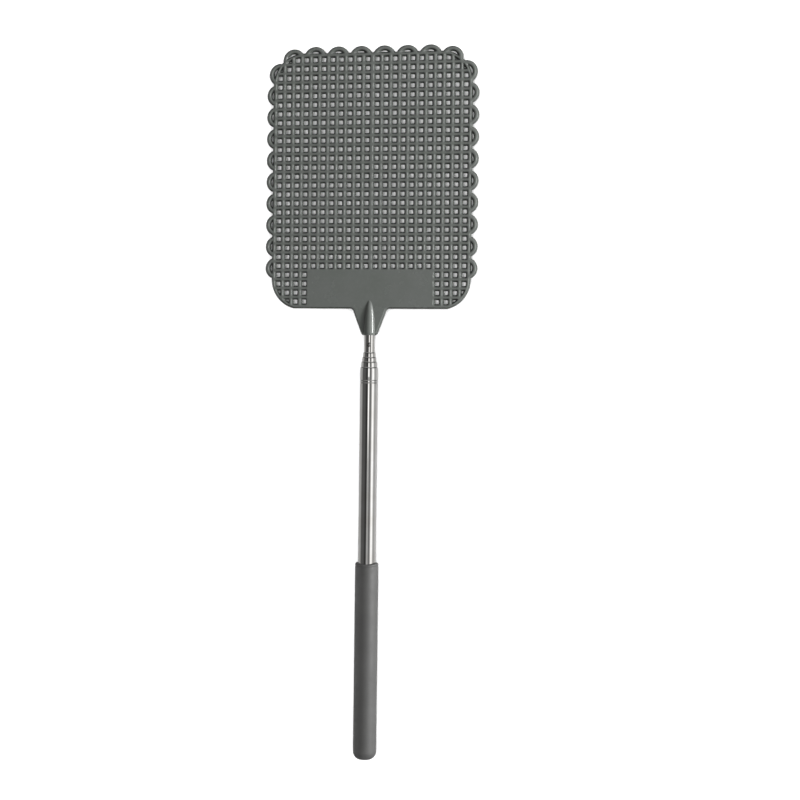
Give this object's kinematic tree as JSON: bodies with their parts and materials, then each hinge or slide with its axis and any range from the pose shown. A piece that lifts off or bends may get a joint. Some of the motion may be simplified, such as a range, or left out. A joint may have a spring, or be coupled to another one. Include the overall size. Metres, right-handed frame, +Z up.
{
  "type": "telescopic fly swatter",
  "caption": "Pocket fly swatter: a flexible grid head with a scalloped edge on a steel rod that pulls out of a soft grip in telescoping, turning sections.",
  "frame": {"origin": "on the surface that the swatter lies on, under the middle of the closed swatter's box", "axes": "+Y along the rod towards the head, +Z up out of the head's front face, +X to the right seen from the front"},
  "size_m": [0.0996, 0.3294, 0.0108],
  "materials": {
    "head_plastic": "satin moulded polyethylene, mid grey",
    "polished_steel": "polished stainless steel",
    "foot_brass": "turned brass",
    "sleeve_bronze": "spring bronze strip",
    "plug_nylon": "natural nylon",
    "grip_vinyl": "soft matte vinyl, dark grey"
  },
  "bodies": {
    "handle": {"outer_tube": "polished_steel", "grip": "grip_vinyl", "end_plug": "plug_nylon"},
    "sleeve_4": {"friction_sleeve_4": "sleeve_bronze"},
    "section_4": {"tube_section_4": "polished_steel", "foot_4": "foot_brass"},
    "sleeve_3": {"friction_sleeve_3": "sleeve_bronze"},
    "section_3": {"tube_section_3": "polished_steel", "foot_3": "foot_brass"},
    "sleeve_2": {"friction_sleeve_2": "sleeve_bronze"},
    "section_2": {"tube_section_2": "polished_steel", "foot_2": "foot_brass"},
    "sleeve_1": {"friction_sleeve_1": "sleeve_bronze"},
    "head_section": {"inner_tube": "polished_steel", "foot_1": "foot_brass", "swatter_head": "head_plastic"}
  },
  "joints": [
    {"name": "section_4_slide", "type": "slide", "parent": "handle", "child": "sleeve_4", "axis": [0, 1, 0], "range_m": [0, 0.13]},
    {"name": "section_4_turn", "type": "hinge", "parent": "sleeve_4", "child": "section_4", "pos_m": [0, 0, 0.0054], "axis": [0, 1, 0], "continuous": true},
    {"name": "section_3_slide", "type": "slide", "parent": "section_4", "child": "sleeve_3", "axis": [0, 1, 0], "range_m": [0, 0.13]},
    {"name": "section_3_turn", "type": "hinge", "parent": "sleeve_3", "child": "section_3", "pos_m": [0, 0, 0.0054], "axis": [0, 1, 0], "continuous": true},
    {"name": "section_2_slide", "type": "slide", "parent": "section_3", "child": "sleeve_2", "axis": [0, 1, 0], "range_m": [0, 0.13]},
    {"name": "section_2_turn", "type": "hinge", "parent": "sleeve_2", "child": "section_2", "pos_m": [0, 0, 0.0054], "axis": [0, 1, 0], "continuous": true},
    {"name": "head_slide", "type": "slide", "parent": "section_2", "child": "sleeve_1", "axis": [0, 1, 0], "range_m": [0, 0.13]},
    {"name": "head_turn", "type": "hinge", "parent": "sleeve_1", "child": "head_section", "pos_m": [0, 0, 0.0054], "axis": [0, 1, 0], "continuous": true}
  ]
}
